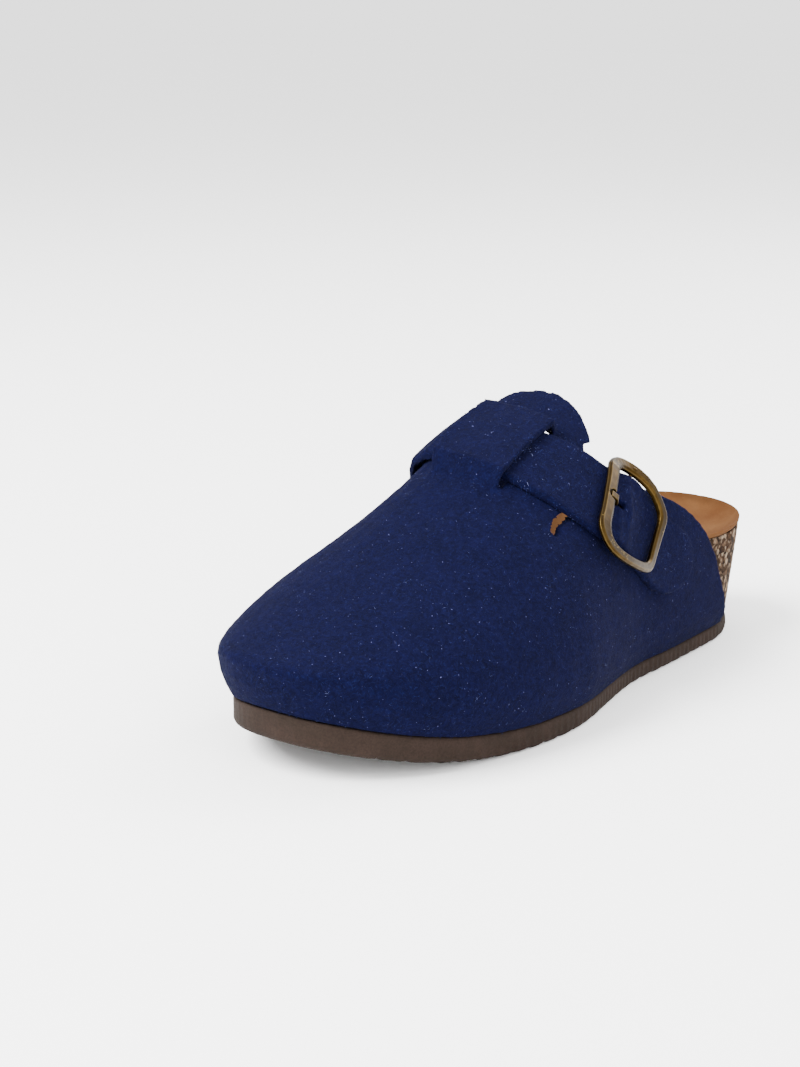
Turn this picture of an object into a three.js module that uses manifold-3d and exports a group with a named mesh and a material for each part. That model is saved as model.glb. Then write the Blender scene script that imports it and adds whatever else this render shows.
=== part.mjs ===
// A left felt slipper: an open-backed clog of thick wool felt on a cork footbed, with one
// strap that runs under a bridge of the upper and through a brass buckle on the outer side.
// Millimetres, +Z up, toe toward -Y, heel toward +Y, outer (lateral) side toward +X.
// The origin is on the floor, midway along the sole, on the centre line of the heel.

import * as THREE from 'three';
import { mergeVertices } from 'three/addons/utils/BufferGeometryUtils.js';
import Module from 'manifold-3d';

const wasm = await Module();
wasm.setup();

// Driving dimensions
const length = 255;
const ballWidth = 97;
const instepHeight = 103;
const heelHeight = 40;
const toeSpring = 13;
const soleThickness = 7;
const clearance = 0.3;
const feltThickness = 3;
const overhang = 4.5;
const tuckIn = 4.2;
const equator = 14;

// Rounding of the outline at its two ends, as shares of the length
const heelRound = 0.14;
const toeRound = 0.27;
const springStart = 0.68;

// Tread
const treadPitch = 8;
const grooveWidth = 2;
const grooveDepth = 1.2;

// Footbed and insole
const heelFlare = 3.3;
const insoleThickness = 1.6;

// Strap, and the bridge that it runs under
const strapWidth = 34;
const strapThickness = 2.8;
const strapDip = 1.5;
const strapSlack = 3;
const slitGap = 0.8;
const bridgeRamp = 4.5;
const tongueFlare = 6;
const tongueRadius = 32;

// Buckle
const buckleRun = 45.8;
const buckleAcross = 1.2;
const buckleTurn = -10;
const buckleLength = 33;
const buckleWidth = 44.8;
const frameThickness = 2.4;
const centreBar = 1.6;
const centreBarPlace = 3;
const barSpread = 5.5;
const prongWidth = 2.4;
const prongThickness = 1.2;
const prongHole = 8.5;
const notchReach = 3.8;
const notchDepth = 1.6;

// Cuts leave no edge shorter than this
const shortestEdge = 0.02;

const radians = THREE.MathUtils.degToRad;
const { clamp, smoothstep, lerp } = THREE.MathUtils;

// Outline of the sole: centre, lateral and medial half width as shares of the ball width
const outlineRows = [
  { share: 0.00, centre: 0.000, lateral: 0.300, medial: 0.320 },
  { share: 0.15, centre: 0.000, lateral: 0.335, medial: 0.325 },
  { share: 0.28, centre: 0.000, lateral: 0.361, medial: 0.345 },
  { share: 0.38, centre: 0.000, lateral: 0.376, medial: 0.366 },
  { share: 0.48, centre: 0.000, lateral: 0.438, medial: 0.381 },
  { share: 0.58, centre: 0.000, lateral: 0.505, medial: 0.423 },
  { share: 0.68, centre: -0.005, lateral: 0.515, medial: 0.485 },
  { share: 0.77, centre: -0.026, lateral: 0.505, medial: 0.505 },
  { share: 0.88, centre: -0.057, lateral: 0.495, medial: 0.464 },
  { share: 1.00, centre: -0.067, lateral: 0.438, medial: 0.381 },
];

// Upper: height as a share of the instep height, fullness of both sides, ridge as a share
// of the ball width, and how far the medial wall leans in on its way up
const upperRows = [
  { share: 0.00, height: 1.00, lateral: 3.0, medial: 3.0, ridge: -0.11, lean: 0.10 },
  { share: 0.12, height: 1.00, lateral: 2.9, medial: 3.4, ridge: -0.11, lean: 0.12 },
  { share: 0.25, height: 1.00, lateral: 2.3, medial: 3.9, ridge: -0.11, lean: 0.14 },
  { share: 0.40, height: 0.985, lateral: 2.0, medial: 4.2, ridge: -0.11, lean: 0.15 },
  { share: 0.50, height: 0.915, lateral: 1.95, medial: 3.9, ridge: -0.11, lean: 0.13 },
  { share: 0.60, height: 0.805, lateral: 1.95, medial: 2.8, ridge: -0.09, lean: 0.05 },
  { share: 0.70, height: 0.684, lateral: 2.0, medial: 2.4, ridge: -0.07, lean: 0.00 },
  { share: 0.80, height: 0.578, lateral: 2.1, medial: 2.3, ridge: -0.05, lean: 0.00 },
  { share: 0.90, height: 0.490, lateral: 2.2, medial: 2.2, ridge: -0.03, lean: 0.00 },
  { share: 1.00, height: 0.408, lateral: 2.3, medial: 2.3, ridge: 0.0, lean: 0.00 },
];

// Thickness of the sole as a share of its thickness at the heel
const soleRows = [
  { share: 0.0, thickness: 0.95 },
  { share: 0.3, thickness: 0.95 },
  { share: 0.6, thickness: 1.15 },
  { share: 1.0, thickness: 1.45 },
];

// Cork footbed: height of its rim and depth of its hollow as shares of the heel height,
// and how far the arch rises on the medial side
const footbedRows = [
  { share: 0.00, rim: 1.000, hollow: 0.20, arch: 0.0 },
  { share: 0.15, rim: 0.965, hollow: 0.22, arch: 0.1 },
  { share: 0.30, rim: 0.870, hollow: 0.19, arch: 0.7 },
  { share: 0.45, rim: 0.650, hollow: 0.14, arch: 1.0 },
  { share: 0.60, rim: 0.420, hollow: 0.10, arch: 0.3 },
  { share: 0.75, rim: 0.310, hollow: 0.09, arch: 0.0 },
  { share: 0.90, rim: 0.290, hollow: 0.09, arch: 0.0 },
  { share: 1.00, rim: 0.280, hollow: 0.08, arch: 0.0 },
];

// Where the upper is cut open on both sides: the top and rear edge of the quarter, and the
// side edge of the tongue above it, as shares of the length and of the instep height
const quarterRows = [
  { share: 0.568, height: 0.646 },
  { share: 0.560, height: 0.651 },
  { share: 0.540, height: 0.673 },
  { share: 0.500, height: 0.694 },
  { share: 0.420, height: 0.712 },
  { share: 0.350, height: 0.708 },
  { share: 0.318, height: 0.682 },
  { share: 0.268, height: 0.618 },
  { share: 0.224, height: 0.535 },
  { share: 0.197, height: 0.452 },
  { share: 0.177, height: 0.357 },
  { share: 0.157, height: 0.252 },
  { share: 0.137, height: 0.143 },
  { share: 0.123, height: 0.060 },
];
const tongueSideRows = [
  { share: 0.5725, height: 0.652 },
  { share: 0.5715, height: 0.668 },
  { share: 0.560, height: 0.690 },
  { share: 0.530, height: 0.716 },
  { share: 0.480, height: 0.762 },
  { share: 0.440, height: 0.815 },
  { share: 0.410, height: 0.880 },
];

// Middle line of the strap, from its tip at the heel end of the lateral side, over the
// instep and down the medial side. Angles are those of the upper, width is a share of the
// strap's width, slack is how much of the strap's slack lifts it off the felt.
const strapRows = [
  { path: 0.000, share: 0.268, angle: 15.2, width: 0.79, slack: 0.0 },
  { path: 0.039, share: 0.300, angle: 15.6, width: 0.80, slack: 0.0 },
  { path: 0.088, share: 0.338, angle: 17.8, width: 0.83, slack: 0.0 },
  { path: 0.134, share: 0.366, angle: 23.0, width: 0.86, slack: 0.0 },
  { path: 0.188, share: 0.396, angle: 30.0, width: 0.90, slack: 0.0 },
  { path: 0.250, share: 0.436, angle: 38.5, width: 0.93, slack: 0.0 },
  { path: 0.295, share: 0.464, angle: 45.2, width: 0.98, slack: 0.0 },
  { path: 0.328, share: 0.480, angle: 51.0, width: 1.00, slack: 0.0 },
  { path: 0.359, share: 0.493, angle: 57.0, width: 0.99, slack: 0.0 },
  { path: 0.392, share: 0.505, angle: 63.5, width: 0.96, slack: 0.0 },
  { path: 0.435, share: 0.514, angle: 72.0, width: 0.90, slack: 0.0 },
  { path: 0.508, share: 0.514, angle: 86.0, width: 0.88, slack: 0.0 },
  { path: 0.572, share: 0.512, angle: 100.0, width: 0.90, slack: 0.1 },
  { path: 0.609, share: 0.506, angle: 116.0, width: 0.97, slack: 0.5 },
  { path: 0.647, share: 0.493, angle: 133.0, width: 1.00, slack: 0.3 },
  { path: 0.709, share: 0.470, angle: 152.0, width: 1.00, slack: 0.2 },
  { path: 0.775, share: 0.453, angle: 166.0, width: 1.00, slack: 0.1 },
  { path: 0.835, share: 0.440, angle: 174.0, width: 1.00, slack: 0.2 },
  { path: 0.914, share: 0.432, angle: 179.0, width: 1.00, slack: 0.2 },
  { path: 0.960, share: 0.428, angle: 182.0, width: 1.00, slack: 0.2 },
  { path: 0.977, share: 0.422, angle: 188.0, width: 1.00, slack: 0.2 },
  { path: 1.000, share: 0.415, angle: 195.0, width: 1.00, slack: 0.2 },
];

// Half of the buckle's outline, from the middle of its front bar to the middle of its rear
// bar: outer and inner edge as shares of the buckle's length and width, and the level of the
// lower side (near) and of the upper side (far) as shares of the level of the bars
const buckleRows = [
  { outAlong: 0.479, outAcross: 0.000, inAlong: 0.324, inAcross: 0.000, near: 1.00, far: 1.00 },
  { outAlong: 0.482, outAcross: 0.179, inAlong: 0.324, inAcross: 0.156, near: 1.00, far: 1.00 },
  { outAlong: 0.491, outAcross: 0.312, inAlong: 0.324, inAcross: 0.279, near: 0.99, far: 0.97 },
  { outAlong: 0.479, outAcross: 0.362, inAlong: 0.312, inAcross: 0.321, near: 0.97, far: 0.88 },
  { outAlong: 0.442, outAcross: 0.415, inAlong: 0.282, inAcross: 0.364, near: 0.95, far: 0.76 },
  { outAlong: 0.352, outAcross: 0.478, inAlong: 0.224, inAcross: 0.393, near: 0.92, far: 0.66 },
  { outAlong: 0.212, outAcross: 0.500, inAlong: 0.133, inAcross: 0.402, near: 0.91, far: 0.64 },
  { outAlong: 0.036, outAcross: 0.478, inAlong: -0.012, inAcross: 0.384, near: 0.97, far: 0.80 },
  { outAlong: -0.182, outAcross: 0.415, inAlong: -0.200, inAcross: 0.326, near: 1.00, far: 1.02 },
  { outAlong: -0.400, outAcross: 0.330, inAlong: -0.352, inAcross: 0.259, near: 1.00, far: 1.00 },
  { outAlong: -0.491, outAcross: 0.272, inAlong: -0.391, inAcross: 0.223, near: 1.00, far: 1.00 },
  { outAlong: -0.515, outAcross: 0.219, inAlong: -0.409, inAcross: 0.179, near: 1.00, far: 1.00 },
  { outAlong: -0.515, outAcross: 0.112, inAlong: -0.409, inAcross: 0.089, near: 1.00, far: 1.00 },
  { outAlong: -0.515, outAcross: 0.000, inAlong: -0.409, inAcross: 0.000, near: 1.00, far: 1.00 },
];
const tongueX = -6;
const tongueY = 4;
const slit = { front: 0.592, rear: 0.430, lateral: 71, medial: 100 };

// A smooth curve through one column of a table, by the value in another column
function column(rows, name, by = 'share') {
  const count = rows.length;
  const step = i => rows[i + 1][by] - rows[i][by];
  const slope = i => (rows[i + 1][name] - rows[i][name]) / step(i);
  const tangent = i => {
    if (i === 0) return slope(0);
    if (i === count - 1) return slope(count - 2);
    return (step(i) * slope(i - 1) + step(i - 1) * slope(i)) / (step(i) + step(i - 1));
  };
  const tangents = rows.map((row, i) => tangent(i));
  return share => {
    const s = clamp(share, rows[0][by], rows[count - 1][by]);
    let i = 0;
    while (i < count - 2 && s > rows[i + 1][by]) i += 1;
    const h = step(i);
    const t = (s - rows[i][by]) / h;
    const a = rows[i][name] * (2 * t ** 3 - 3 * t ** 2 + 1) + tangents[i] * h * (t ** 3 - 2 * t ** 2 + t);
    return a + rows[i + 1][name] * (3 * t ** 2 - 2 * t ** 3) + tangents[i + 1] * h * (t ** 3 - t ** 2);
  };
}

const outline = {
  centre: column(outlineRows, 'centre'),
  lateral: column(outlineRows, 'lateral'),
  medial: column(outlineRows, 'medial'),
};
const upperShape = {
  height: column(upperRows, 'height'),
  lateral: column(upperRows, 'lateral'),
  medial: column(upperRows, 'medial'),
  ridge: column(upperRows, 'ridge'),
  lean: column(upperRows, 'lean'),
};
const soleShare = column(soleRows, 'thickness');
const footbed = {
  rim: column(footbedRows, 'rim'),
  hollow: column(footbedRows, 'hollow'),
  arch: column(footbedRows, 'arch'),
};
const strapLine = {
  share: column(strapRows, 'share', 'path'),
  angle: column(strapRows, 'angle', 'path'),
  width: column(strapRows, 'width', 'path'),
  slack: column(strapRows, 'slack', 'path'),
};

// How much of its full width the outline has near its two round ends
function endFactor(share) {
  const heel = clamp(1 - share / heelRound, 0, 1);
  const toe = clamp((share - (1 - toeRound)) / toeRound, 0, 1);
  return (1 - heel ** 2.2) ** (1 / 2.2) * (1 - toe ** 2.3) ** (1 / 2.3);
}

const alongY = (share, grow) => (0.5 - share) * (length + 2 * grow);
const shareOf = y => clamp(0.5 - y / length, 0, 1);

// Edge of the outline on one side (+1 lateral, -1 medial), grown outward by some millimetres
function edgeX(share, side, grow) {
  const half = (side > 0 ? outline.lateral(share) : outline.medial(share)) * ballWidth + grow;
  return outline.centre(share) * ballWidth + side * half * endFactor(share);
}

function treadZ(y) {
  const run = Math.max(shareOf(y) - springStart, 0) / (1 - springStart);
  return toeSpring * run ** 2;
}
const soleTopZ = y => treadZ(y) + soleShare(shareOf(y)) * soleThickness;

const tuckAngle = radians(23);

// A point of the upper: angle 0 is the lateral side, 90 degrees the ridge, 180 the medial
// side, beyond them the wall tucks in to the sole. Level 0 is the felt's outer face.
function upperPoint(share, angle, level) {
  const sine = Math.sin(angle);
  const cosine = Math.cos(angle);
  const side = cosine >= 0 ? 1 : -1;
  const drop = Math.min(sine, 0) / Math.sin(tuckAngle);
  const grow = overhang + level - tuckIn * drop ** 2;
  const y = alongY(share, grow);
  const middleZ = soleTopZ(y) + equator + clearance;
  const edge = edgeX(share, side, grow);
  if (sine < 0) return [edge, y, middleZ + drop * equator];
  const round = share > 0.7 ? endFactor(share) ** 0.55 : 1;
  const topZ = middleZ + (upperShape.height(share) * instepHeight + level - middleZ) * round;
  const power = 2 / (side > 0 ? upperShape.lateral(share) : upperShape.medial(share));
  const ridgeX = (outline.centre(share) + upperShape.ridge(share) * endFactor(share)) * ballWidth;
  const lean = side > 0 ? 0 : upperShape.lean(share) * sine ** power;
  const x = ridgeX + Math.abs(cosine) ** power * (edge - ridgeX) * (1 - lean);
  return [x, y, middleZ + (topZ - middleZ) * sine ** power];
}

// Closed bodies from rings of points. A ring at an end either folds onto a line or is
// closed by the given pairs of opposite points.
function loft(rings, { pairs = [], capFirst = false, capLast = false } = {}) {
  const size = rings[0].length;
  const positions = rings.flat(2);
  const index = [];
  for (let i = 0; i < rings.length - 1; i += 1) {
    for (let j = 0; j < size; j += 1) {
      const k = (j + 1) % size;
      const [a, b, c, d] = [i * size + j, i * size + k, (i + 1) * size + k, (i + 1) * size + j];
      index.push(a, b, c, a, c, d);
    }
  }
  const cap = (base, flip) => {
    for (let j = 0; j < pairs.length - 1; j += 1) {
      const [a, b] = pairs[j].map(k => base + k);
      const [d, c] = pairs[j + 1].map(k => base + k);
      const face = flip ? [a, c, b, a, d, c] : [a, b, c, a, c, d];
      index.push(...face);
    }
  };
  if (capFirst) cap(0, false);
  if (capLast) cap((rings.length - 1) * size, true);
  return solidFrom(positions, index);
}

function solidFrom(positions, index) {
  const geometry = new THREE.BufferGeometry();
  geometry.setAttribute('position', new THREE.Float32BufferAttribute(positions, 3));
  geometry.setIndex(index);
  return toSolid(geometry);
}

// Merged, with the flat leftovers dropped
function tidy(geometry, tolerance) {
  const bare = geometry.clone();
  bare.deleteAttribute('normal');
  bare.deleteAttribute('uv');
  const merged = mergeVertices(bare, tolerance);
  const triangles = [];
  for (let i = 0; i < merged.index.count; i += 3) {
    const [a, b, c] = [0, 1, 2].map(k => merged.index.getX(i + k));
    if (a !== b && b !== c && c !== a) triangles.push(a, b, c);
  }
  merged.setIndex(triangles);
  return merged;
}

// A closed body for cutting and joining, with its faces turned outward
function toSolid(source) {
  const merged = tidy(source, 1e-4);
  const vertices = new Float32Array(merged.attributes.position.array);
  const triangles = [...merged.index.array];
  const make = list => new wasm.Manifold(new wasm.Mesh({
    numProp: 3, vertProperties: vertices, triVerts: new Uint32Array(list),
  }));
  const solid = make(triangles);
  if (solid.volume() > 0) return solid;
  for (let i = 0; i < triangles.length; i += 3) {
    [triangles[i], triangles[i + 1]] = [triangles[i + 1], triangles[i]];
  }
  return make(triangles);
}

function toGeometry(solid) {
  const mesh = solid.getMesh();
  const geometry = new THREE.BufferGeometry();
  geometry.setAttribute('position', new THREE.Float32BufferAttribute(mesh.vertProperties, 3));
  geometry.setIndex(new THREE.Uint32BufferAttribute(mesh.triVerts, 1));
  const clean = tidy(geometry, shortestEdge);
  clean.computeVertexNormals();
  return clean;
}

// Shares of the length from toe to heel, closer together at both ends
function stations(count, from = 1, to = 0) {
  const shares = [];
  for (let i = 0; i <= count; i += 1) {
    const share = (1 + Math.cos(Math.PI * i / count)) / 2;
    shares.push(to + (from - to) * share);
  }
  return shares;
}

// Outsole

function makeOutsole() {
  const rounding = 1.2;
  const side = (share, sign) => {
    const at = (grow, lift, top) => {
      const y = alongY(share, grow);
      return [edgeX(share, sign, grow), y, (top ? soleTopZ(y) : treadZ(y)) + lift];
    };
    return [at(-rounding, 0, false), at(0, rounding, false), at(0, -rounding / 2, true),
      at(-rounding / 2, 0, true)];
  };
  const rings = stations(40).map(share => {
    const middle = outline.centre(share) * ballWidth;
    const top = [middle, alongY(share, -rounding / 2), soleTopZ(alongY(share, -rounding / 2))];
    const bottom = [middle, alongY(share, -rounding), treadZ(alongY(share, -rounding))];
    return [...side(share, 1), top, ...side(share, -1).reverse(), bottom];
  });
  return loft(rings).subtract(makeGrooves());
}

function makeGrooves() {
  const count = Math.floor(length / treadPitch / 2) - 1;
  const bars = [];
  for (let i = -count; i < count; i += 1) {
    const y = (i + 0.5) * treadPitch;
    const bar = new THREE.BoxGeometry(2 * ballWidth, grooveWidth, 2 * grooveDepth);
    bar.rotateX(Math.atan2(treadZ(y + 1) - treadZ(y - 1), 2));
    bar.translate(0, y, treadZ(y));
    bars.push(toSolid(bar));
  }
  return bars.reduce((sum, bar) => sum.add(bar));
}

// Footbed and insole

// Half-way outline of the footbed's side: bare and flared at the heel, inside the felt elsewhere
function footbedSide(share, sign, height) {
  const rim = footbed.rim(share) * heelHeight;
  const edge = lerp(0.109, 0.181, height / heelHeight);
  const covered = smoothstep(share, edge - 0.05, edge);
  const bareGrow = lerp(-0.5, heelFlare, height / rim);
  const level = -feltThickness - 1.5 * clearance;
  const drop = Math.max(1 - height / equator, 0);
  const insideGrow = overhang + level - tuckIn * drop ** 2;
  const grow = lerp(bareGrow, insideGrow, covered);
  const y = alongY(share, grow);
  const bottom = soleTopZ(y) + clearance;
  let x = edgeX(share, sign, grow);
  if (height > equator) {
    const lean = edgeX(share, sign, insideGrow) - insideX(share, sign, height, level);
    x -= covered * lean;
  }
  return [x, y, bottom + height];
}

// Where the upper's wall is at a height above the sole
function insideX(share, sign, height, level) {
  const angle = { low: 0, high: Math.PI / 2 };
  const bottom = soleTopZ(alongY(share, overhang + level)) + clearance;
  for (let i = 0; i < 24; i += 1) {
    const middle = (angle.low + angle.high) / 2;
    const point = upperPoint(share, sign > 0 ? middle : Math.PI - middle, level);
    if (point[2] - bottom < height) angle.low = middle;
    else angle.high = middle;
  }
  return upperPoint(share, sign > 0 ? angle.low : Math.PI - angle.low, level)[0];
}

// Top of the footbed across its width, from the lateral rim to the medial rim
function footbedTop(share, across, lift) {
  const rim = footbed.rim(share) * heelHeight;
  const lateral = footbedSide(share, 1, rim + lift);
  const medial = footbedSide(share, -1, rim + lift);
  const power = across < 0 ? lerp(4, 1.8, footbed.arch(share)) : 4;
  const hollow = footbed.hollow(share) * heelHeight * endFactor(share) ** 0.6;
  const depth = hollow * (1 - Math.abs(across) ** power);
  const x = lerp(medial[0], lateral[0], (1 + across) / 2);
  return [x, lateral[1], lateral[2] - depth];
}

const acrossSteps = [1, 0.93, 0.82, 0.62, 0.34, 0, -0.34, -0.62, -0.82, -0.93, -1];

function makeFootbed() {
  const heights = [0, 0.18, 0.4, 0.65, 0.85];
  const rings = stations(32).map(share => {
    const rim = footbed.rim(share) * heelHeight;
    const side = sign => heights.map(part => footbedSide(share, sign, part * rim));
    const top = acrossSteps.map(across => footbedTop(share, across, 0));
    return [...side(1), ...top, ...side(-1).reverse()];
  });
  return loft(rings);
}

function makeInsole() {
  const rings = stations(32).map(share => {
    const top = acrossSteps.map(across => footbedTop(share, across, clearance + insoleThickness));
    const bottom = acrossSteps.map(across => footbedTop(share, across, clearance)).reverse();
    return [...top, ...bottom];
  });
  return loft(rings);
}

// Upper

// How far the bridge between the slits rises so that the strap fits under it
function bridgeLift(share, angle) {
  const turn = (angle - radians(slit.lateral)) / radians(slit.medial - slit.lateral);
  if (turn < 0 || turn > 1 || share > slit.front || share < slit.rear) return 0;
  const ramp = bridgeRamp / length;
  const rise = smoothstep(slit.front - share, 0, ramp) * smoothstep(share - slit.rear, 0, ramp);
  const strapTop = clearance + strapThickness - strapDip * Math.sin(Math.PI * turn);
  return rise * (strapTop + 2 * clearance + feltThickness);
}

// The tongue's free end turns up behind the strap, more on the medial side
function tongueLift(share, angle) {
  const start = lerp(0.4, 0.445, smoothstep(angle, radians(50), radians(75)));
  const back = clamp((start - share) / (start - 0.36), 0, 1.3);
  const lateral = smoothstep(angle, radians(47), radians(58));
  const medial = 1 - smoothstep(angle, radians(142), radians(154));
  const turn = lateral * medial * lerp(0.3, 1, smoothstep(angle, radians(60), radians(115)));
  return tongueFlare * back ** 1.5 * turn;
}

const feltPoint = (share, angle, level) =>
  upperPoint(share, angle, level + bridgeLift(share, angle) + tongueLift(share, angle));

// Degrees that one millimetre spans across a slit, half-way along it
function degreesPerMillimetre(angle) {
  const share = (slit.front + slit.rear) / 2;
  const a = new THREE.Vector3(...upperPoint(share, radians(angle - 0.5), 0));
  const b = new THREE.Vector3(...upperPoint(share, radians(angle + 0.5), 0));
  return 1 / a.distanceTo(b);
}

function makeUpper() {
  const plain = [-23, -16, -9, 0, 8, 17, 26, 35, 44, 53, 62];
  const bridge = [78, 86, 93];
  const medial = [108, 116, 124, 132, 140, 148, 156, 163, 169, 174, 180, 189, 196, 203];
  const half = slitGap * 0.3;
  const lateralStep = half * degreesPerMillimetre(slit.lateral);
  const medialStep = half * degreesPerMillimetre(slit.medial);
  const angles = [...plain, slit.lateral - lateralStep, slit.lateral + lateralStep, ...bridge,
    slit.medial - medialStep, slit.medial + medialStep, ...medial].map(radians);
  const ramp = bridgeRamp / length;
  const bends = [slit.front, slit.front - ramp, slit.rear + ramp, slit.rear];
  const clear = share => bends.every(bend => Math.abs(share - bend) > 0.01);
  const shares = [...stations(46).filter(clear), ...bends];
  const rings = shares.sort((a, b) => b - a).filter(share => share > 0.06).map(share => {
    const outer = angles.map(angle => feltPoint(share, angle, 0));
    const inner = angles.map(angle => feltPoint(share, angle, -feltThickness)).reverse();
    return [...outer, ...inner];
  });
  const count = rings[0].length / 2;
  const pairs = Array.from({ length: count }, (unused, i) => [i, 2 * count - 1 - i]);
  let upper = loft(rings, { pairs, capLast: true });
  for (const cut of [...throatCuts(), slitBlade(slit.lateral), slitBlade(slit.medial)]) {
    upper = upper.subtract(cut);
  }
  return upper;
}

// A thin blade that opens one slit, from inside the felt to above the bridge
function slitBlade(angle) {
  const levels = [-2 * feltThickness, 4 * feltThickness];
  const half = slitGap / 2 * degreesPerMillimetre(angle);
  const rings = [];
  for (let i = 0; i <= 12; i += 1) {
    const share = lerp(slit.front, slit.rear, i / 12);
    const corner = (sign, level) => upperPoint(share, radians(angle + sign * half), level);
    rings.push([corner(-1, levels[0]), corner(1, levels[0]), corner(1, levels[1]), corner(-1, levels[1])]);
  }
  return loft(rings, { pairs: [[0, 3], [1, 2]], capFirst: true, capLast: true });
}

const placeY = share => alongY(share, overhang);

// What is cut away behind the tongue and above the quarters, with a notch on each side
function throatCuts() {
  const point = row => new THREE.Vector2(placeY(row.share), row.height * instepHeight);
  const quarter = new THREE.SplineCurve(quarterRows.map(point)).getPoints(30);
  const tongueSide = new THREE.SplineCurve(tongueSideRows.map(point)).getPoints(12);
  const far = length;
  const rear = [new THREE.Vector2(far, 0.9 * instepHeight), new THREE.Vector2(far, -1)];
  const sideShape = new THREE.Shape([...tongueSide, ...rear,
    new THREE.Vector2(quarter.at(-1).x + 1, -1), ...quarter.reverse()]);
  const side = new THREE.ExtrudeGeometry(sideShape, { depth: ballWidth, bevelEnabled: false });
  side.rotateY(Math.PI / 2);
  side.rotateX(Math.PI / 2);
  const ridgeX = upperShape.ridge(0.4) * ballWidth;
  const lateral = side.clone();
  const medial = side.clone().translate(ridgeX - ballWidth - 8, 0, 0);

  const arc = [];
  for (let i = 0; i <= 24; i += 1) {
    const turn = Math.PI * i / 24;
    arc.push(new THREE.Vector2(
      tongueX + tongueRadius * Math.cos(turn),
      tongueY + tongueRadius * Math.sin(turn),
    ));
  }
  const behind = new THREE.Shape([new THREE.Vector2(ballWidth, tongueY), new THREE.Vector2(ballWidth, far),
    new THREE.Vector2(-ballWidth, far), new THREE.Vector2(-ballWidth, tongueY), ...arc.reverse()]);
  const end = new THREE.ExtrudeGeometry(behind, { depth: instepHeight, bevelEnabled: false });
  end.translate(0, 0, 0.8 * instepHeight);
  return [toSolid(lateral), toSolid(medial), toSolid(end)];
}

// Strap

// Where the upper's outer form lies behind a point in space, as share and angle
function nearest(target) {
  const pole = { x: upperShape.ridge(0.4) * ballWidth / 2, z: soleThickness + 1.5 * equator };
  const turnOf = (x, z) => {
    const turn = Math.atan2(z - pole.z, x - pole.x);
    return turn < -Math.PI / 2 ? turn + 2 * Math.PI : turn;
  };
  const wanted = turnOf(target.x, target.z);
  const share = 0.5 - target.y / (length + 2 * overhang);
  let [low, high] = [-tuckAngle, Math.PI + tuckAngle];
  for (let i = 0; i < 30; i += 1) {
    const middle = (low + high) / 2;
    const [x, , z] = upperPoint(share, middle, 0);
    if (turnOf(x, z) < wanted) low = middle;
    else high = middle;
  }
  return [share, low];
}

const strapPoint = path =>
  new THREE.Vector3(...upperPoint(strapLine.share(path), radians(strapLine.angle(path)), 0));

// Distance from the strap's tip at even steps of its path
const strapRuns = [0];
const pathSteps = 600;
for (let i = 1; i <= pathSteps; i += 1) {
  const step = strapPoint(i / pathSteps).distanceTo(strapPoint((i - 1) / pathSteps));
  strapRuns.push(strapRuns.at(-1) + step);
}
const strapLength = strapRuns.at(-1);

// Part of the path at a distance from the strap's tip
function pathAt(run) {
  const i = Math.max(strapRuns.findIndex(total => total >= Math.min(run, strapLength)), 1);
  const part = (run - strapRuns[i - 1]) / (strapRuns[i] - strapRuns[i - 1]);
  return (i - 1 + clamp(part, 0, 1)) / pathSteps;
}

// Middle of the strap at a distance from its tip, with its directions along and across
function strapFrame(run) {
  const here = strapPoint(pathAt(run));
  const along = strapPoint(pathAt(run + 1)).sub(strapPoint(pathAt(Math.max(run - 1, 0)))).normalize();
  const path = pathAt(run);
  const share = strapLine.share(path);
  const angle = radians(strapLine.angle(path));
  const bySide = new THREE.Vector3(...upperPoint(share + 1e-3, angle, 0)).sub(here);
  const byAngle = new THREE.Vector3(...upperPoint(share, angle + 1e-3, 0)).sub(here);
  const outward = byAngle.cross(bySide).normalize();
  if (outward.x * Math.cos(angle) + outward.z * Math.sin(angle) < 0) outward.negate();
  const across = new THREE.Vector3().crossVectors(outward, along).normalize();
  return { here, along, across };
}

// A point on the felt at some millimetres along and across from a place on the strap's path
function nearStrap(frame, along, across, level) {
  const target = frame.here.clone().addScaledVector(frame.along, along).addScaledVector(frame.across, across);
  const [share, angle] = nearest(target);
  return upperPoint(share, angle, level);
}

// The buckle's own place and directions, a little turned from the strap's
function buckleFrame() {
  const frame = strapFrame(buckleRun);
  const [cosine, sine] = [Math.cos(radians(buckleTurn)), Math.sin(radians(buckleTurn))];
  return {
    here: frame.here.clone().addScaledVector(frame.across, buckleAcross),
    along: frame.along.clone().multiplyScalar(cosine).addScaledVector(frame.across, sine),
    across: frame.across.clone().multiplyScalar(cosine).addScaledVector(frame.along, -sine),
  };
}

// Level of the strap's underside: it dips under the bridge, rises over the buckle's centre
// bar and a little more over the prong, and has some slack on the medial side
function strapUnderside(run, across) {
  const path = pathAt(run);
  const bridgeTurn = (strapLine.angle(path) - slit.lateral) / (slit.medial - slit.lateral);
  const dip = strapDip * Math.sin(Math.PI * clamp(bridgeTurn, 0, 1));
  const onBuckle = new THREE.Vector2(run - buckleRun, across - buckleAcross);
  onBuckle.rotateAround(new THREE.Vector2(), -radians(buckleTurn));
  const crown = (prongThickness + 2 * clearance) * Math.max(1 - Math.abs(onBuckle.y) / (strapWidth / 3), 0);
  const rise = centreBar + 1.5 * clearance + crown;
  const over = Math.exp(-(((onBuckle.x - centreBarPlace) / barSpread) ** 2));
  return clearance - dip + rise * over + strapLine.slack(path) * strapSlack;
}

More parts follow.
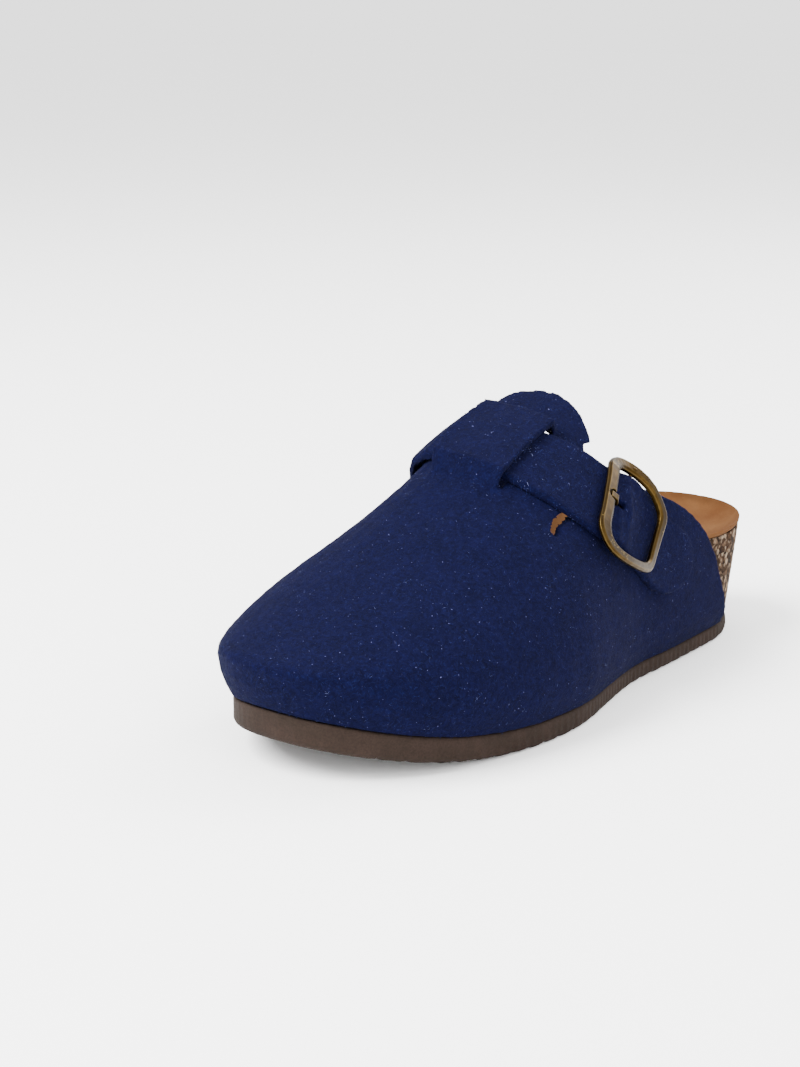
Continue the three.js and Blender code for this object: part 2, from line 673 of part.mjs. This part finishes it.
function makeStrap() {
  const count = 42;
  const tip = strapWidth / 2;
  const across = [-1, -0.94, -0.5, 0, 0.5, 0.94, 1];
  const rings = [];
  for (let i = 0; i <= count; i += 1) {
    const run = strapLength * (i / count) ** 1.2;
    const frame = strapFrame(run);
    const round = run < tip ? Math.sqrt(Math.max(1 - (1 - run / tip) ** 2, 0)) : 1;
    const half = strapWidth / 2 * strapLine.width(pathAt(run)) * round;
    const at = (w, lift) =>
      nearStrap(frame, 0, w * half, strapUnderside(run, w * half) + lift * strapThickness);
    const bottom = across.map(w => at(w, 0));
    const top = across.map(w => at(w, Math.abs(w) === 1 ? 0.7 : 1)).reverse();
    rings.push([...bottom, ...top]);
  }
  const pairs = across.map((w, i) => [i, 2 * across.length - 1 - i]);
  return loft(rings, { pairs, capLast: true }).subtract(makeProngHole());
}

const squarePairs = [[0, 3], [1, 2]];

function makeProngHole() {
  const frame = buckleFrame();
  const half = prongWidth / 2 + clearance;
  const corners = [[-1, -1], [1, -1], [1, 1], [-1, 1]];
  const ring = level => corners.map(([a, b]) => nearStrap(frame, prongHole + 3.5 * a, half * b, level));
  return loft([ring(-1), ring(8)], { pairs: squarePairs, capFirst: true, capLast: true });
}

// Buckle: a frame that lies over the strap, with a bar under the strap for the prong

const frameLevel = strapThickness + 2 * clearance + frameThickness / 2 + 0.9;

// One edge of the frame all round, from both halves of its table
function buckleEdge(alongName, acrossName) {
  const half = side => buckleRows.map(row => new THREE.Vector3(row[alongName] * buckleLength,
    side * row[acrossName] * buckleWidth, (side > 0 ? row.near : row.far) * frameLevel));
  const points = [...half(1), ...half(-1).slice(1, -1).reverse()];
  return new THREE.CatmullRomCurve3(points, true);
}

function makeFrame() {
  const frame = buckleFrame();
  const outer = buckleEdge('outAlong', 'outAcross');
  const inner = buckleEdge('inAlong', 'inAcross');
  const half = frameThickness / 2;
  const section = [[0, -0.6], [0.15, -1], [0.85, -1], [1, -0.5], [1, 0.4], [0.8, 1], [0.2, 1], [0, 0.5]];
  const count = 48;
  const rings = [];
  for (let i = 0; i <= count; i += 1) {
    const [out, into] = [outer.getPoint((i % count) / count), inner.getPoint((i % count) / count)];
    rings.push(section.map(([mix, lift]) => {
      const at = into.clone().lerp(out, mix);
      return nearStrap(frame, at.x, at.y, at.z + lift * half);
    }));
  }
  return loft(rings).add(makeCentreBar(frame)).subtract(makeNotch(frame));
}

function makeCentreBar(frame) {
  const count = 12;
  const reach = 0.44 * buckleWidth;
  const radius = centreBar / 2;
  const rings = [];
  for (let i = 0; i <= count; i += 1) {
    const across = lerp(-reach, reach, i / count);
    const rise = smoothstep(Math.abs(across), reach - 3, reach) * (0.9 * frameLevel - clearance - radius);
    const ring = [];
    for (let k = 0; k < 8; k += 1) {
      const turn = 2 * Math.PI * (k + 0.5) / 8;
      const level = clearance + radius + rise + radius * Math.sin(turn);
      ring.push(nearStrap(frame, centreBarPlace + radius * Math.cos(turn), across, level));
    }
    rings.push(ring);
  }
  const pairs = [0, 1, 2, 3].map(k => [k, 7 - k]);
  return loft(rings, { pairs, capFirst: true, capLast: true });
}

// The hollow in the front bar for the tip of the prong
const notchFloor = frameLevel + frameThickness / 2 - notchDepth;

function makeNotch(frame) {
  const middle = buckleRows[0].inAlong * buckleLength;
  const half = prongWidth / 2 + 1.2;
  const ring = level => Array.from({ length: 16 }, (unused, k) => {
    const turn = Math.PI * (k + 0.5) / 8;
    return nearStrap(frame, middle + notchReach * Math.cos(turn), half * Math.sin(turn), level);
  });
  const pairs = [0, 1, 2, 3, 4, 5, 6, 7].map(k => [k, 15 - k]);
  return loft([ring(notchFloor), ring(3 * frameLevel)], { pairs, capFirst: true, capLast: true });
}

// The prong hooks over the centre bar, runs under the strap, comes up through its hole and
// rests in the notch of the front bar
function makeProng() {
  const frame = buckleFrame();
  const middle = clearance + centreBar / 2;
  const reach = centreBar / 2 + clearance + prongThickness / 2;
  const line = [];
  for (let i = 0; i <= 8; i += 1) {
    const turn = lerp(radians(190), radians(35), i / 8);
    line.push([centreBarPlace + reach * Math.cos(turn), middle + reach * Math.sin(turn)]);
  }
  const rest = notchFloor + clearance + prongThickness / 2;
  const low = clearance + prongThickness / 2;
  line.push([5.4, low + 0.1], [6.6, low], [7.5, low + 0.4], [8.3, lerp(low, rest, 0.4)],
    [9.1, rest - 0.9], [9.9, rest], [12.4, rest], [13, rest - 0.1]);
  const half = prongThickness / 2;
  const rings = line.map((point, i) => {
    const before = line[Math.max(i - 1, 0)];
    const after = line[Math.min(i + 1, line.length - 1)];
    const run = new THREE.Vector2(after[0] - before[0], after[1] - before[1]).normalize();
    const at = (side, lift) => nearStrap(frame, point[0] - run.y * lift * half,
      side * prongWidth / 2, point[1] + run.x * lift * half);
    return [at(-1, -1), at(1, -1), at(1, 1), at(-1, 1)];
  });
  return loft(rings, { pairs: squarePairs, capFirst: true, capLast: true });
}

const group = new THREE.Group();
function place(name, solid, color, roughness, metalness) {
  const material = new THREE.MeshStandardMaterial({ color, roughness, metalness });
  const mesh = new THREE.Mesh(toGeometry(solid), material);
  mesh.name = name;
  group.add(mesh);
}

place('outsole', makeOutsole(), 0x605650, 0.85, 0);
place('cork_footbed', makeFootbed(), 0x6b4a32, 0.9, 0);
place('insole', makeInsole(), 0xa9794f, 0.9, 0);
place('upper', makeUpper(), 0x262c5a, 0.95, 0);
place('strap', makeStrap(), 0x262c5a, 0.95, 0);
place('buckle_frame', makeFrame(), 0x8b7850, 0.4, 0.9);
place('buckle_prong', makeProng(), 0x8b7850, 0.4, 0.9);

export default group;
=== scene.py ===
# A left felt slipper: the looks of its felt, cork, suede, sole and brass around the CAD parts.
# Metres, +Z up, toe toward -Y, outer side toward +X.

import math

import bmesh
import bpy
import numpy as np
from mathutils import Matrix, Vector, noise


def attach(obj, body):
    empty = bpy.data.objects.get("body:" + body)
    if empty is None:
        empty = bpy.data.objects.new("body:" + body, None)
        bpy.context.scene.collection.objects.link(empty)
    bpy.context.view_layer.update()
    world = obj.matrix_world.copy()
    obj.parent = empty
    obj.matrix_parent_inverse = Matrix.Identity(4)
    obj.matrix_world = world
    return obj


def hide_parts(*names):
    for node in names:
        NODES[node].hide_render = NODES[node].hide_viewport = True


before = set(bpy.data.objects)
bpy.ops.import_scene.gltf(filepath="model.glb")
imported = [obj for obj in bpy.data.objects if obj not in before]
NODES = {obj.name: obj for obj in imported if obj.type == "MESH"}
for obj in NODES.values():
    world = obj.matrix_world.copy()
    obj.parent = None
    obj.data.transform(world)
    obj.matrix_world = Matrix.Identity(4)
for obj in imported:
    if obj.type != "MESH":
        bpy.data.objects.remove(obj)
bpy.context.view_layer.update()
MM = 0.001


# Meshes

# Corners of a CAD part that are closer than this are one corner
WELD = 0.005 * MM
# A pull to the mean and a push back, which keeps the volume
RELAX_STEPS = (0.5, -0.52)
# A sharper bend than this stays a sharp edge
CREASE = math.radians(50)


def coordinates(mesh):
    """Vertices of a mesh as rows of x, y, z, in metres."""
    flat = np.empty(len(mesh.vertices) * 3)
    mesh.vertices.foreach_get("co", flat)
    return flat.reshape(-1, 3)


def set_coordinates(mesh, points):
    mesh.vertices.foreach_set("co", points.ravel())
    mesh.update()


def set_smooth(mesh):
    mesh.polygons.foreach_set("use_smooth", [True] * len(mesh.polygons))


def relax(mesh, rounds):
    """Evens out a mesh: facets go, while the form and its thickness stay."""
    edges = np.empty(len(mesh.edges) * 2, dtype=np.int64)
    mesh.edges.foreach_get("vertices", edges)
    a, b = edges.reshape(-1, 2).T
    points = coordinates(mesh)
    size = len(points)
    neighbours = np.bincount(a, minlength=size) + np.bincount(b, minlength=size)
    for _ in range(rounds):
        for step in RELAX_STEPS:
            mean = np.empty_like(points)
            for k in range(3):
                total = np.bincount(a, points[b, k], size) + np.bincount(b, points[a, k], size)
                mean[:, k] = total / np.maximum(neighbours, 1)
            points += step * (mean - points)
    set_coordinates(mesh, points)


def push_out(mesh, depth):
    """Moves each vertex along its normal by depth(point, normal), in metres."""
    points = coordinates(mesh)
    normals = np.empty(len(points) * 3)
    mesh.vertices.foreach_get("normal", normals)
    normals = normals.reshape(-1, 3)
    amounts = np.array([depth(Vector(p), Vector(n)) for p, n in zip(points, normals)])
    set_coordinates(mesh, points + normals * amounts[:, None])


def link(name, data):
    made = bpy.data.objects.new(name, data)
    bpy.context.scene.collection.objects.link(made)
    return made


def copy_part(part, name, cuts=0):
    """A copy of a CAD part with its corners joined, and each edge cut up if cuts are given."""
    piece = link(name, NODES[part].data.copy())
    bm = bmesh.new()
    bm.from_mesh(piece.data)
    bmesh.ops.remove_doubles(bm, verts=bm.verts, dist=WELD)
    if cuts:
        bmesh.ops.subdivide_edges(bm, edges=bm.edges, cuts=cuts, use_grid_fill=True)
        bmesh.ops.triangulate(bm, faces=bm.faces)
    bm.to_mesh(piece.data)
    bm.free()
    return piece


def reshape(piece, kind, settings):
    """Gives a piece the mesh that a modifier makes of it."""
    modifier = piece.modifiers.new(kind.lower(), kind)
    for key, value in settings.items():
        setattr(modifier, key, value)
    bpy.context.view_layer.update()
    shaped = piece.evaluated_get(bpy.context.evaluated_depsgraph_get())
    mesh = bpy.data.meshes.new_from_object(shaped)
    piece.modifiers.clear()
    piece.data = mesh


def skin(part, name, voxel, rounds, swell, share=1.0):
    """A fine, evenly meshed copy of a CAD part, with its facets relaxed. It is swollen while it
    is meshed, so that its thin edges are kept, and drawn back afterwards. Voxel and swell are
    in millimetres, and share is the part of its faces that is kept."""
    swell *= MM
    piece = copy_part(part, name)
    piece.data.materials.clear()
    push_out(piece.data, lambda point, normal: swell)
    reshape(piece, "REMESH", {"mode": "VOXEL", "voxel_size": voxel * MM, "use_smooth_shade": True})
    relax(piece.data, rounds)
    push_out(piece.data, lambda point, normal: -swell)
    relax(piece.data, 2)
    if share < 1:
        reshape(piece, "DECIMATE", {"ratio": share})
    set_smooth(piece.data)
    return piece


def fine_copy(part, name, cuts, rounds):
    """A copy of a thin CAD part with each edge cut up, for a part whose rim is a thin lip."""
    piece = copy_part(part, name, cuts)
    relax(piece.data, rounds)
    set_smooth(piece.data)
    piece.data.set_sharp_from_angle(angle=CREASE)
    return piece


def dress(piece, node, finish):
    """Puts a piece in its CAD part's place, with its finish."""
    piece.data.materials.clear()
    piece.data.materials.append(finish)
    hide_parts(node)
    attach(piece, "root")


# Finishes

def linear(colour):
    """An sRGB hex colour as linear red, green, blue and alpha."""
    parts = [int(colour[i:i + 2], 16) / 255 for i in (1, 3, 5)]
    return [c / 12.92 if c <= 0.04045 else ((c + 0.055) / 1.055) ** 2.4 for c in parts] + [1.0]


def add(tree, kind, settings):
    """Adds a shader node. Each setting is one of its properties or inputs: a plain value, an
    sRGB hex colour or, as a link, another node's output."""
    made = tree.nodes.new("ShaderNode" + kind)
    for key, value in settings.items():
        if isinstance(value, bpy.types.NodeSocket):
            tree.links.new(value, made.inputs[key])
        elif isinstance(key, str) and hasattr(made, key):
            setattr(made, key, value)
        elif isinstance(value, str):
            made.inputs[key].default_value = linear(value)
        else:
            made.inputs[key].default_value = value
    return made


def start_finish(name):
    """An empty material, its node tree and the place on the piece, in metres."""
    made = bpy.data.materials.new(name)
    made.use_nodes = True
    made.node_tree.nodes.clear()
    return made, made.node_tree, add(made.node_tree, "TexCoord", {}).outputs["Object"]


def end_finish(tree, settings):
    shader = add(tree, "BsdfPrincipled", settings)
    add(tree, "OutputMaterial", {"Surface": shader.outputs["BSDF"]})


def blotches(tree, place, size, detail=2.0, roughness=0.5):
    """Noise whose blotches are about size millimetres across."""
    return add(tree, "TexNoise", {"Scale": 1 / (size * MM), "Detail": detail, "Roughness": roughness,
                                  "Vector": place}).outputs["Fac"]


def chips(tree, place, size):
    """Cells about size millimetres across, each with its own colour."""
    return add(tree, "TexVoronoi", {"Scale": 1 / (size * MM), "Randomness": 1.0, "Vector": place})


def ramp(tree, source, stops):
    """A colour for each height of a value; stops are (height, sRGB hex or linear grey)."""
    made = add(tree, "ValToRGB", {0: source})
    elements = made.color_ramp.elements
    while len(elements) < len(stops):
        elements.new(0.5)
    for element, (height, colour) in zip(elements, stops):
        element.position = height
        element.color = linear(colour) if isinstance(colour, str) else (colour, colour, colour, 1)
    return made.outputs["Color"]


def mix(tree, factor, first, second, kind="MIX"):
    return add(tree, "Mix", {"data_type": "RGBA", "blend_type": kind,
                             0: factor, 6: first, 7: second}).outputs[2]


def relief(tree, height, strength, depth):
    """Bump from a height, up to depth millimetres deep."""
    return add(tree, "Bump", {"Strength": strength, "Distance": depth * MM,
                              "Height": height}).outputs["Normal"]


def wool_felt():
    """Thick fulled wool felt, brushed: a matt navy ground, a lighter cast where the nap catches
    the light, and single fibres a little paler or darker than the rest."""
    made, tree, place = start_finish("wool_felt_brushed")
    warp = add(tree, "TexNoise", {"Scale": 1 / (3 * MM), "Detail": 2.0, "Vector": place})
    bent = add(tree, "VectorMath", {"operation": "MULTIPLY_ADD", 0: warp.outputs["Color"],
                                    1: (4 * MM, 4 * MM, 4 * MM), 2: place}).outputs[0]
    cast = blotches(tree, place, 9, 3.0, 0.6)
    tuft = blotches(tree, bent, 1.6, 4.0, 0.7)
    fibre = blotches(tree, bent, 0.55, 3.0, 0.75)
    ground = ramp(tree, cast, [(0.35, "#030418"), (0.65, "#050620")])
    tufts = ramp(tree, tuft, [(0.36, "#020212"), (0.52, "#05061e"), (0.70, "#0b0d2d")])
    colour = mix(tree, 0.55, ground, tufts)
    lit = ramp(tree, fibre, [(0.55, 0.0), (0.78, 1.0)])
    colour = mix(tree, lit, colour, "#101437")
    lint = ramp(tree, blotches(tree, place, 0.8, 1.0, 0.4), [(0.765, 0.0), (0.80, 1.0)])
    colour = mix(tree, lint, colour, "#47496e")
    end_finish(tree, {"Roughness": 1.0, "Specular IOR Level": 0.04, "Sheen Weight": 0.03,
                      "Sheen Roughness": 0.5, "Sheen Tint": "#494c7b", "Base Color": colour,
                      "Normal": relief(tree, mix(tree, 0.5, tuft, fibre), 0.9, 0.8)})
    return made


def loose_wool():
    """Single wool fibres on the felt: navy, some a little paler in the light, a few nearly grey."""
    made, tree, place = start_finish("loose_wool_fibres")
    colour = ramp(tree, blotches(tree, place, 5, 2.0, 0.8),
                  [(0.40, "#0a0f2e"), (0.62, "#1b2350"), (0.74, "#6d7396")])
    end_finish(tree, {"Roughness": 0.9, "Specular IOR Level": 0.1, "Base Color": colour})
    return made


def pressed_cork():
    """Cork granules pressed in a binder: pale chips of 1 to 3 mm in a dark brown ground."""
    made, tree, place = start_finish("pressed_cork_granules")
    large = chips(tree, place, 2.2)
    small = chips(tree, place, 1.1)
    large_shade = add(tree, "SeparateColor", {"Color": large.outputs["Color"]}).outputs[0]
    small_shade = add(tree, "SeparateColor", {"Color": small.outputs["Color"]}).outputs[1]
    large_chips = ramp(tree, large_shade, [(0.0, "#120c08"), (0.45, "#281a11"), (0.70, "#43301f"),
                                           (0.86, "#6f5b4a"), (1.0, "#978672")])
    small_chips = ramp(tree, small_shade, [(0.0, "#0d0906"), (0.5, "#2e2016"), (0.82, "#574536"),
                                           (1.0, "#8f7e6b")])
    colour = mix(tree, 0.45, large_chips, small_chips)
    binder = ramp(tree, large.outputs["Distance"], [(0.35, 1.0), (0.75, 0.35)])
    colour = mix(tree, 0.6, colour, binder, "MULTIPLY")
    end_finish(tree, {"Roughness": 0.95, "Specular IOR Level": 0.06, "Base Color": colour,
                      "Normal": relief(tree, small_shade, 0.7, 0.4)})
    return made


def suede():
    """Tan suede, its nap buffed: soft lighter and darker strokes over a fine grain."""
    made, tree, place = start_finish("suede_insole_tan")
    stroke = blotches(tree, place, 18, 3.0, 0.6)
    nap = blotches(tree, place, 0.5, 3.0, 0.7)
    colour = ramp(tree, stroke, [(0.3, "#4c2f19"), (0.6, "#563921"), (0.8, "#5e4027")])
    grain = ramp(tree, nap, [(0.3, 0.72), (0.7, 1.0)])
    colour = mix(tree, 0.7, colour, grain, "MULTIPLY")
    end_finish(tree, {"Roughness": 0.95, "Specular IOR Level": 0.06, "Sheen Weight": 0.05,
                      "Sheen Roughness": 0.4, "Sheen Tint": "#85705a", "Base Color": colour,
                      "Normal": relief(tree, nap, 0.4, 0.2)})
    return made


def foamed_sole():
    """Foamed EVA sheet, sanded at its edge: warm grey-brown with a faint speckle of cells."""
    made, tree, place = start_finish("foamed_eva_sole")
    cloud = blotches(tree, place, 12, 3.0, 0.6)
    cells = blotches(tree, place, 0.7, 3.0, 0.7)
    colour = ramp(tree, cloud, [(0.3, "#1f1712"), (0.7, "#271d18")])
    speck = ramp(tree, cells, [(0.35, 0.62), (0.6, 1.0), (0.8, 1.15)])
    colour = mix(tree, 0.8, colour, speck, "MULTIPLY")
    end_finish(tree, {"Roughness": 0.92, "Specular IOR Level": 0.12, "Base Color": colour,
                      "Normal": relief(tree, cells, 0.5, 0.3)})
    return made


def antique_brass():
    """Antiqued brass, rubbed back: olive-brown flats, pale rubbed edges, a satin gloss."""
    made, tree, place = start_finish("antiqued_brass")
    edge = add(tree, "NewGeometry", {}).outputs["Pointiness"]
    rubbed = ramp(tree, edge, [(0.50, 0.0), (0.60, 1.0)])
    tarnish = blotches(tree, place, 2.5, 3.0, 0.65)
    ground = ramp(tree, tarnish, [(0.3, "#231707"), (0.7, "#33260f")])
    colour = mix(tree, rubbed, ground, "#655431")
    dull = ramp(tree, tarnish, [(0.3, 0.42), (0.7, 0.30)])
    end_finish(tree, {"Metallic": 1.0, "Base Color": colour, "Roughness": dull,
                      "Normal": relief(tree, blotches(tree, place, 0.4), 0.12, 0.1)})
    return made


# Reliefs that are real shapes, as depths in metres

def lumps(point, size, shift=(0, 0, 0)):
    """Noise from about -1 to 1 whose lumps are about size millimetres across."""
    return noise.noise(point / (size * MM) + Vector(shift))


def felt_hand(strength):
    """Soft unevenness of felt: slow swells, small lumps and single tufts."""
    def depth(point, normal):
        swells = 0.45 * lumps(point, 22)
        small = 0.22 * lumps(point, 4, (7, 3, 5))
        tufts = 0.12 * lumps(point, 1.6, (1, 9, 2))
        return strength * MM * (swells + small + tufts)
    return depth


def granules(point, normal):
    return 0.16 * MM * lumps(point, 1.5) + 0.08 * MM * lumps(point, 0.8)


def wavy_tread(point, normal):
    """The tread runs out at the side as fine bumps about 3.6 mm apart, strongest at the floor."""
    side = max(1 - abs(normal.z) * 1.3, 0)
    low = max(1 - point.z / (9 * MM), 0.12)
    run = (0.75 * point.x - point.y) / (3.6 * MM) * 2 * math.pi
    bumps = 0.6 * math.sin(run) + 0.7 * lumps(point, 3)
    return side * low * 0.42 * MM * bumps + 0.05 * MM * lumps(point, 1.2)


FIBRE_COUNT = 14000
FIBRE_HALF_WIDTH = 0.03 * MM
FIBRE_LENGTHS = (0.7, 1.9)
FIBRE_LIFTS = (0.1, 0.45)
FIBRE_ROOT = 0.1 * MM


def fibres(name, pieces, seed):
    """Loose fibres of the nap, as fine bent ribbons that lie just off the felt."""
    chance = np.random.default_rng(seed)
    vertices = sum(len(piece.data.vertices) for piece in pieces)
    corners, faces = [], []
    for piece in pieces:
        points = coordinates(piece.data)
        share = int(FIBRE_COUNT * len(points) / vertices)
        for index in chance.choice(len(points), share):
            start = Vector(points[index])
            normal = piece.data.vertices[int(index)].normal
            side = normal.cross(Vector(chance.normal(size=3))).normalized()
            width = side.cross(normal) * FIBRE_HALF_WIDTH
            length = chance.uniform(*FIBRE_LENGTHS) * MM
            lift = chance.uniform(*FIBRE_LIFTS) * MM
            curl = width * chance.uniform(-9, 9)
            root = start - normal * FIBRE_ROOT
            middle = start + side * length * 0.5 + normal * lift
            tip = start + side * length + normal * lift * chance.uniform(0.3, 1.6) + curl
            k = len(corners)
            corners += [root - width, root + width, middle - width, middle + width,
                        tip - width * 0.3, tip + width * 0.3]
            faces += [(k, k + 1, k + 3, k + 2), (k + 2, k + 3, k + 5, k + 4)]
    mesh = bpy.data.meshes.new(name)
    mesh.from_pydata(corners, [], faces)
    made = link(name, mesh)
    mesh.materials.append(loose_wool())
    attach(made, "root")


# Pieces

felt = wool_felt()
brass = antique_brass()

upper = skin("upper", "felt_upper", 0.72, 30, 0.25, 0.46)
push_out(upper.data, felt_hand(0.6))
dress(upper, "upper", felt)

strap = skin("strap", "felt_strap", 0.6, 20, 0.2)
push_out(strap.data, felt_hand(0.45))
dress(strap, "strap", felt)

fibres("felt_loose_fibres", [upper, strap], 7)

footbed = skin("cork_footbed", "cork_footbed_pressed", 1.0, 20, 0.3)
push_out(footbed.data, granules)
dress(footbed, "cork_footbed", pressed_cork())

insole = fine_copy("insole", "suede_insole", 3, 6)
dress(insole, "insole", suede())

sole = skin("outsole", "foamed_outsole", 0.9, 8, 0.2)
push_out(sole.data, wavy_tread)
dress(sole, "outsole", foamed_sole())

buckle = skin("buckle_frame", "brass_buckle_frame", 0.22, 5, 0.06)
dress(buckle, "buckle_frame", brass)

prong = skin("buckle_prong", "brass_buckle_prong", 0.18, 6, 0.05)
dress(prong, "buckle_prong", brass)


# Studio

FLOOR_REACH = 6
INSTEP = (0, 0, 0.04)
STRAP = (0, 0, 0.05)


def studio_floor():
    reach = FLOOR_REACH
    mesh = bpy.data.meshes.new("studio_floor")
    mesh.from_pydata([(-reach, -reach, 0), (reach, -reach, 0), (reach, reach, 0), (-reach, reach, 0)],
                     [], [(0, 1, 2, 3)])
    floor = link("studio_floor", mesh)
    made, tree, _ = start_finish("pale_paper_floor")
    end_finish(tree, {"Base Color": "#ffffff", "Roughness": 0.9, "Specular IOR Level": 0.1})
    mesh.materials.append(made)


def softbox(name, place, aim, size, watts):
    light = bpy.data.lights.new(name, "AREA")
    light.shape = "RECTANGLE"
    light.size, light.size_y = size
    light.energy = watts
    lamp = link(name, light)
    lamp.location = place
    lamp.rotation_euler = (Vector(aim) - Vector(place)).to_track_quat("-Z", "Y").to_euler()


def studio_air():
    world = bpy.data.worlds.new("studio_air")
    world.use_nodes = True
    air = world.node_tree.nodes["Background"]
    air.inputs["Color"].default_value = linear("#f7f7f7")
    air.inputs["Strength"].default_value = 2.4
    bpy.context.scene.world = world


def studio_camera():
    """The photograph's view: 40 degrees round from the toe, 14.8 degrees up, 0.85 m away."""
    azimuth, elevation, distance = math.radians(40), math.radians(14.8), 0.85
    target = Vector((-0.0768, 0.0275, 0.040))
    sensor, image_height, focal_pixels = 36, 1067, 2094
    back = Vector((math.sin(azimuth) * math.cos(elevation), -math.cos(azimuth) * math.cos(elevation),
                   math.sin(elevation)))
    data = bpy.data.cameras.new("camera")
    data.sensor_fit = "VERTICAL"
    data.sensor_height = sensor
    data.lens = focal_pixels / image_height * sensor
    camera = link("camera", data)
    camera.location = target + distance * back
    camera.rotation_euler = back.to_track_quat("Z", "Y").to_euler()
    bpy.context.scene.camera = camera


studio_floor()
softbox("key_light", (-0.55, -1.0, 1.3), INSTEP, (1.0, 1.0), 105)
softbox("fill_light", (1.3, -0.6, 0.7), INSTEP, (1.2, 1.2), 24)
softbox("rim_light", (0.4, 1.2, 1.0), STRAP, (1.0, 0.8), 26)
studio_air()
studio_camera()
